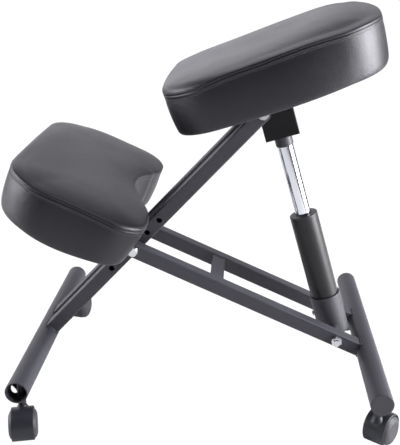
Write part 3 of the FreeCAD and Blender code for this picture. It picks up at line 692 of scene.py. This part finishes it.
class SeatShape:
    """How the seat cushion departs from an even form. Its rear is fuller and its front corners are crisp."""

    half_length = 0.185
    rear_run = (-0.12, 0.16)
    seam_drop_front_corner = 0.008
    seam_rise_side = 0.004
    seam_side_run = (0.12, 0.20)
    seam_rear_run = (-0.05, 0.10)
    sag_everywhere = 0.0010
    sag_less_rear_corner = 0.0030
    draw_everywhere = 0.0020
    draw_rear_corner = 0.0080
    edge_front = -0.0032
    edge_rise_rear = 0.0052
    edge_drop_left_corner = 0.0055
    left_run = (-0.02, 0.14)
    roll_front = 0.62
    roll_side = 0.5
    roll_rear = 1.2
    roll_side_run = (0.14, 0.19)
    dome_front = 0.0022
    dome_rise_rear = 0.0100

    @classmethod
    def corner(cls, point):
        return corner_share(point, seat_half_width, cls.half_length)

    @classmethod
    def rearness(cls, point):
        return smooth_step(point.y, *cls.rear_run)

    @classmethod
    def seam_shift(cls, point):
        if point.y < 0:
            return -cls.seam_drop_front_corner * cls.corner(point) ** 1.5
        along_side = smooth_step(abs(point.x), *cls.seam_side_run)
        rearward = smooth_step(point.y, *cls.seam_rear_run)
        return cls.seam_rise_side * along_side * rearward * (1 - cls.corner(point))

    @classmethod
    def sag(cls, point):
        return cls.sag_everywhere - cls.sag_less_rear_corner * cls.corner(point) * cls.rearness(point)

    @classmethod
    def foot_draw(cls, point):
        return cls.draw_everywhere + cls.draw_rear_corner * cls.corner(point) * cls.rearness(point)

    @classmethod
    def edge_rise(cls, point):
        left_corner = cls.corner(point) * smooth_step(point.x, *cls.left_run)
        rear_rise = cls.edge_rise_rear - cls.edge_drop_left_corner * left_corner
        return cls.edge_front + rear_rise * cls.rearness(point)

    @classmethod
    def roll(cls, point):
        along_side = smooth_step(abs(point.x), *cls.roll_side_run)
        return cls.roll_front + cls.roll_side * along_side + cls.roll_rear * cls.rearness(point)

    @classmethod
    def dome(cls, point):
        return cls.dome_front + cls.dome_rise_rear * cls.rearness(point)


class PadShape:
    """How the knee pad departs from an even form. Its front leans forward and its lobes are drawn in."""

    middle = -0.574
    half_length = 0.118
    front_run = (0.60, 0.69)
    rear_run = (-0.53, -0.46)
    lobe_run = (0.02, 0.10)
    seam_drop_front_corner = 0.003
    seam_drop_rear_corner = 0.0015
    sag_middle = 0.0058
    sag_everywhere = 0.0012
    draw_everywhere = 0.0010
    draw_front = 0.0050
    draw_left_lobe = 0.0110
    draw_less_right_lobe = 0.0030
    edge_rise_front = 0.0015
    edge_drop_front_corner = 0.0030
    roll_everywhere = 0.75
    roll_front_corner = 0.6
    dome_everywhere = 0.0060

    @classmethod
    def corner(cls, point):
        return corner_share(point, pad_half_width, cls.half_length, cls.middle)

    @classmethod
    def front_corner(cls, point):
        return cls.corner(point) if point.y < cls.middle else 0.0

    @classmethod
    def frontness(cls, point):
        return smooth_step(-point.y, *cls.front_run)

    @classmethod
    def seam_shift(cls, point):
        drop = cls.seam_drop_front_corner if point.y < cls.middle else cls.seam_drop_rear_corner
        return -drop * cls.corner(point)

    @classmethod
    def sag(cls, point):
        return cls.sag_middle * (1 - cls.corner(point)) ** 2 + cls.sag_everywhere

    @classmethod
    def foot_draw(cls, point):
        rearness = smooth_step(point.y, *cls.rear_run)
        on_left_lobe = rearness * smooth_step(point.x, *cls.lobe_run)
        on_right_lobe = rearness * smooth_step(-point.x, *cls.lobe_run)
        draw = cls.draw_everywhere + cls.draw_front * cls.frontness(point)
        return draw + cls.draw_left_lobe * on_left_lobe - cls.draw_less_right_lobe * on_right_lobe

    @classmethod
    def edge_rise(cls, point):
        rise = cls.edge_rise_front * cls.frontness(point)
        return rise - cls.edge_drop_front_corner * cls.front_corner(point)

    @classmethod
    def roll(cls, point):
        return cls.roll_everywhere + cls.roll_front_corner * cls.front_corner(point)

    @classmethod
    def dome(cls, _):
        return cls.dome_everywhere


seat_form = Cushion(seat_outline(), heart=(0, 0), seam=0.074, top=0.083, shape=SeatShape)
pad_form = Cushion(pad_outline(), heart=(0, -0.597), seam=0.0715, top=0.0785, shape=PadShape)
pad_floor = 0.0155
pad_frame = rail_frame @ Matrix.Translation((0, 0, pad_floor))

settle_frames = 20
settle_cap = 0.0012
settle_evening = 12
cover_cloth = {
    "quality": 6,
    "mass": 0.35,
    "tension_stiffness": 15,
    "compression_stiffness": 8,
    "shear_stiffness": 6,
    "bending_stiffness": 6,
    "use_pressure": True,
    "uniform_pressure_force": 4.0,
}


def sewn_vertices(vertex_count):
    # The rings under the board, the bottom edge and the welt are held while the cover settles
    ring = 4 * around_cells
    levels = cushion_levels()
    grid = (around_cells - 1) ** 2
    held = [step + row * ring for row, level in enumerate(levels) if level[0] in ("under", "foot", "welt")
            for step in range(ring)]
    return held + list(range(len(levels) * ring, vertex_count - grid))


def evened(piece, moves, held):
    # Each move becomes the mean of its own and its neighbours', so no wrinkle stays in the cover
    groups = [[index] for index in range(len(moves))]
    for edge in piece.data.edges:
        first, second = edge.vertices
        groups[first].append(second)
        groups[second].append(first)
    for _ in range(settle_evening):
        moves = [sum((moves[index] for index in group), Vector()) / len(group) for group in groups]
        for index in held:
            moves[index] = Vector()
    return moves


def settle(piece):
    # The padding presses the leather out between its seams
    scene = bpy.context.scene
    before = [vertex.co.copy() for vertex in piece.data.vertices]
    held = sewn_vertices(len(before))
    sewn = piece.vertex_groups.new(name="sewn")
    sewn.add(held, 1.0, "REPLACE")
    cloth = piece.modifiers.new("settling", "CLOTH")
    for setting, value in cover_cloth.items():
        setattr(cloth.settings, setting, value)
    cloth.settings.effector_weights.gravity = 0
    cloth.settings.vertex_group_mass = sewn.name
    cloth.point_cache.frame_start = 1
    cloth.point_cache.frame_end = settle_frames
    for step in range(1, settle_frames + 1):
        scene.frame_set(step)
    apply_modifiers(piece)
    scene.frame_set(1)
    moves = [vertex.co - start for vertex, start in zip(piece.data.vertices, before)]
    for vertex, start, move in zip(piece.data.vertices, before, evened(piece, moves, held)):
        vertex.co = start + move.normalized() * settle_cap * math.tanh(move.length / settle_cap)


def cushion(name, form, place, body, node):
    vertices, faces = cushion_mesh(form)
    piece = new_piece(name, [place @ vertex for vertex in vertices], faces, finishes["black_leatherette"],
                      body, "black_leatherette")
    settle(piece)
    subdivide(piece, 1)
    for polygon in piece.data.polygons:
        polygon.use_smooth = True
    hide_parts(node)
    return piece


stitch_pitch = 0.0046
stitch_length = 0.0032
stitch_radius = 0.00032
stitch_drop = 0.0062
stitch_sides = 6
# Place along half the stitch, and girth, of each of its rings
stitch_rings = ((-1.0, 0.25), (-0.8, 0.85), (0.0, 1.0), (0.8, 0.85), (1.0, 0.25))
# Shares of the thread's radius by which a stitch stands out in its middle and dives at its ends
stitch_rise = 0.55
stitch_dive = 0.9


def stitches(name, form, place, body, cover):
    # One row of thread below the welt, laid on the finished cover
    tree = BVHTree.FromPolygons([vertex.co for vertex in cover.data.vertices],
                                [polygon.vertices for polygon in cover.data.polygons])
    count = round(form.outline.length() / stitch_pitch)
    span = stitch_length / form.outline.length() / 2
    vertices, faces = [], []

    def on_cover(share):
        level = ("welt", 0.0, -stitch_drop)
        return tree.find_nearest(place @ form.side_point(share, level))

    for stitch in range(count):
        middle = stitch / count
        spot, outward, _, _ = on_cover(middle)
        along = (on_cover(middle + span)[0] - on_cover(middle - span)[0]).normalized()
        across = outward.cross(along)
        faces += tube_faces(len(vertices), len(stitch_rings), stitch_sides, False)
        for run, girth in stitch_rings:
            lift = stitch_radius * (stitch_rise - stitch_dive * abs(run) ** 3)
            centre = spot + along * (run * stitch_length / 2) + outward * lift
            vertices += circle_points(centre, across, outward, stitch_radius * girth, stitch_sides)
    return new_piece(name, vertices, faces, thread, body, "black_leatherette")


# Weld beads

bead_sides = 8
ripple_pitch = 0.0016
ripple_depth = 0.12
lump_depth = 0.1
lump_density = 300
# Above this, a bead's way along Z is too steep for Z as its helper
steepest = 0.9


def bead(points, radius, closed):
    # A rippled bead along the given points, thick enough to bridge the joint under it
    count = len(points)
    vertices = []
    travelled = 0.0
    for step, point in enumerate(points):
        ahead = points[(step + 1) % count] if closed or step < count - 1 else point
        behind = points[step - 1] if closed or step > 0 else point
        along = (ahead - behind).normalized()
        travelled += (point - behind).length if step else 0.0
        helper = Vector((0, 0, 1)) if abs(along.z) < steepest else Vector((1, 0, 0))
        across = along.cross(helper).normalized()
        outward = across.cross(along)
        ripple = ripple_depth * math.cos(2 * math.pi * travelled / ripple_pitch)
        wave = 1 + ripple + lump_depth * noise.noise(point * lump_density)
        ending = 1.0 if closed else smooth_step(min(step, count - 1 - step), -1, 2)
        vertices += circle_points(point, across, outward, radius * wave * ending, bead_sides)
    return vertices, tube_faces(0, count, bead_sides, closed)


def joined(parts):
    vertices, faces = [], []
    for part_vertices, part_faces in parts:
        first = len(vertices)
        vertices += part_vertices
        faces += [[first + index for index in face] for face in part_faces]
    return vertices, faces


tube_half = 0.0125
tube_corner = 0.0025
bar_radius = 0.019
rail_drop = 0.003
rail_middle = 0.0615
arm_middle = 0.0295
weld_radius = 0.0017
weld_steps = 220
# Share of its radius by which a bead stands off the bar
weld_lift = 0.2


def square_path(count):
    # Points evenly round a rounded square, as offsets across and up
    flat = tube_half - tube_corner
    quarter = 2 * flat + tube_corner * math.pi / 2
    points = []
    for step in range(count):
        travelled = step / count * 4 * quarter
        side, left = divmod(travelled, quarter)
        if left < 2 * flat:
            spot = Vector((tube_half, left - flat))
        else:
            angle = (left - 2 * flat) / tube_corner
            spot = Vector((flat + tube_corner * math.cos(angle), flat + tube_corner * math.sin(angle)))
        turn = Matrix.Rotation(side * math.pi / 2, 2)
        points.append(turn @ spot)
    return points


def saddle_weld(place, middle, drop, toward):
    # Round a square tube where it lands on the round bar
    points = []
    for across, up in square_path(weld_steps):
        run = math.sqrt(bar_radius ** 2 - (up - drop) ** 2)
        points.append(place @ Vector((middle + across, toward * (run + weld_radius * weld_lift), up)))
    return bead(points, weld_radius, True)


strap_run = 0.300
strap_half = 0.0125
strap_top = 0.010
strap_thickness = 0.003
rail_inner = 0.049
strap_weld_radius = 0.0013
strap_weld_margin = 0.001
strap_weld_pitch = 0.0004


def strap_weld(side, height):
    # Along the strap's end, where it meets the inside of a rail
    reach = strap_half - strap_weld_margin
    start = rail_frame @ Vector((side * rail_inner, -strap_run - reach, height))
    end = rail_frame @ Vector((side * rail_inner, -strap_run + reach, height))
    steps = int((end - start).length / strap_weld_pitch)
    return bead([start.lerp(end, step / steps) for step in range(steps + 1)], strap_weld_radius, False)


def add_frame_welds(body, beads):
    slot = "black_powder_coat"
    new_piece(body + "_welds", *joined(beads), finishes[slot], body, slot)


def add_welds():
    rear = [saddle_weld(rail_frame, side * rail_middle, rail_drop, -1) for side in (1, -1)]
    strap_faces = (strap_top, strap_top - strap_thickness)
    rear += [strap_weld(side, height) for side in (1, -1) for height in strap_faces]
    add_frame_welds("rear_frame", rear)
    front = [saddle_weld(arm_frame, side * arm_middle, 0.0, 1) for side in (1, -1)]
    add_frame_welds("front_frame", front)


# Stage, light and camera

white = (1, 1, 1, 1)
floor_size = 60.0
floor_cells = 4
floor_colour = (0.86, 0.86, 0.87, 1)
# How much of the floor that the camera sees is its own glow, and how strong that is
floor_glow = 0.95
glow_strength = 1.05


def floor_paint():
    material = bpy.data.materials.new("floor")
    tree = NodeTree(material)
    tree.nodes.clear()
    matte = tree.node("BsdfDiffuse", {"Color": floor_colour})
    glow = tree.node("Emission", {"Color": white, "Strength": glow_strength})
    share = tree.product(tree.node("LightPath").outputs["Is Camera Ray"], floor_glow)
    mixed = tree.node("MixShader", {0: share, 1: matte.outputs[0], 2: glow.outputs[0]})
    tree.node("OutputMaterial", {"Surface": mixed.outputs[0]})
    return material


def add_floor():
    # One row of cells along Y
    vertices = [Vector(((row - 0.5) * floor_size, (step / floor_cells - 0.5) * floor_size, 0))
                for row in range(2) for step in range(floor_cells + 1)]
    across = floor_cells + 1
    faces = [(step, across + step, across + 1 + step, step + 1) for step in range(floor_cells)]
    mesh = bpy.data.meshes.new("floor")
    mesh.from_pydata(vertices, [], faces)
    floor = bpy.data.objects.new("floor", mesh)
    bpy.context.scene.collection.objects.link(floor)
    mesh.materials.append(floor_paint())


# Strength of the light from the far and the near side, and shares of it from the rear and from overhead
far_side_light = 1.75
near_side_light = 0.20
rear_share = 0.34
zenith_share = 0.16
# Where along each axis, from -1 to 1, the light changes from one to the other
side_run = (-0.45, 0.25)
depth_run = (-0.35, 0.45)
height_run = (0.40, 0.78)
backdrop_colour = (0.95, 0.94, 1.0, 1)


def add_world():
    # A bright backdrop behind the chair, brightest toward its front and dim overhead
    world = bpy.data.worlds.new("studio")
    bpy.context.scene.world = world
    tree = NodeTree(world)
    tree.nodes.clear()
    way = tree.node("TexCoord").outputs["Generated"]
    parts = tree.node("SeparateXYZ", {0: way}).outputs
    soft = {"interpolation_type": "SMOOTHSTEP"}
    across = tree.ramp(parts["X"], side_run, (far_side_light, near_side_light), **soft)
    along = tree.ramp(parts["Y"], depth_run, (1.0, rear_share), **soft)
    upward = tree.ramp(parts["Z"], height_run, (1.0, zenith_share), **soft)
    strength = tree.product(tree.product(across, along), upward)
    lit = tree.node("Background", {"Color": backdrop_colour, "Strength": strength})
    seen = tree.node("Background", {"Color": white})
    ray = tree.node("LightPath").outputs
    either = tree.node("Math", {0: ray["Is Camera Ray"], 1: ray["Is Transmission Ray"]}, operation="MAXIMUM")
    mixed = tree.node("MixShader", {0: either.outputs[0], 1: lit.outputs[0], 2: seen.outputs[0]})
    tree.node("OutputWorld", {"Surface": mixed.outputs[0]})


lamp_target = (0, 0, 0.35)
lamps = {
    "rear_side": {"place": (0.40, 2.6, 0.9), "size": (1.7, 1.6), "power": 215},
    "overhead": {"place": (0.1, 0.5, 2.4), "size": (1.8, 1.8), "power": 14},
    "front_side": {"place": (0.1, -2.7, 1.1), "size": (1.3, 1.4), "power": 70},
}


def add_lamp(name, place, size, power):
    data = bpy.data.lights.new(name, "AREA")
    data.shape = "RECTANGLE"
    data.size, data.size_y = size
    data.energy = power
    lamp = bpy.data.objects.new(name, data)
    bpy.context.scene.collection.objects.link(lamp)
    lamp.location = place
    lamp.rotation_mode = "QUATERNION"
    lamp.rotation_quaternion = (Vector(lamp_target) - Vector(place)).to_track_quat("-Z", "Y")


def add_lamps():
    for name, lamp in lamps.items():
        add_lamp(name, **lamp)


camera_from_front_axis = Vector((1.36695, 0.36095, 0.69064))
camera_pitch = math.radians(19.183)
camera_yaw = math.radians(-3.159)
camera_roll = math.radians(0.122)
frame_width = 400
focal_pixels = 799.57
sensor_width = 36.0


def add_camera():
    cos_pitch = math.cos(camera_pitch)
    forward = Vector((-cos_pitch * math.cos(camera_yaw), cos_pitch * math.sin(camera_yaw),
                      -math.sin(camera_pitch)))
    level_right = Vector((math.sin(camera_yaw), math.cos(camera_yaw), 0))
    level_up = level_right.cross(forward)
    right = level_right * math.cos(camera_roll) + level_up * math.sin(camera_roll)
    up = level_up * math.cos(camera_roll) - level_right * math.sin(camera_roll)
    data = bpy.data.cameras.new("camera")
    data.sensor_fit = "HORIZONTAL"
    data.sensor_width = sensor_width
    data.lens = sensor_width * focal_pixels / frame_width
    camera = bpy.data.objects.new("camera", data)
    bpy.context.scene.collection.objects.link(camera)
    axes = Matrix((right, up, -forward)).transposed()
    camera.matrix_world = Matrix.Translation(front_axis + camera_from_front_axis) @ axes.to_4x4()
    bpy.context.scene.camera = camera


dress_nodes()
seat_cover = cushion("seat_cover", seat_form, seat_frame, "seat", "seat_cushion")
knee_cover = cushion("knee_cover", pad_form, pad_frame, "rear_frame", "knee_cushion")
stitches("seat_stitches", seat_form, seat_frame, "seat", seat_cover)
stitches("knee_stitches", pad_form, pad_frame, "rear_frame", knee_cover)
add_welds()
add_floor()
add_world()
add_lamps()
add_camera()
bpy.context.scene.view_settings.view_transform = "Standard"
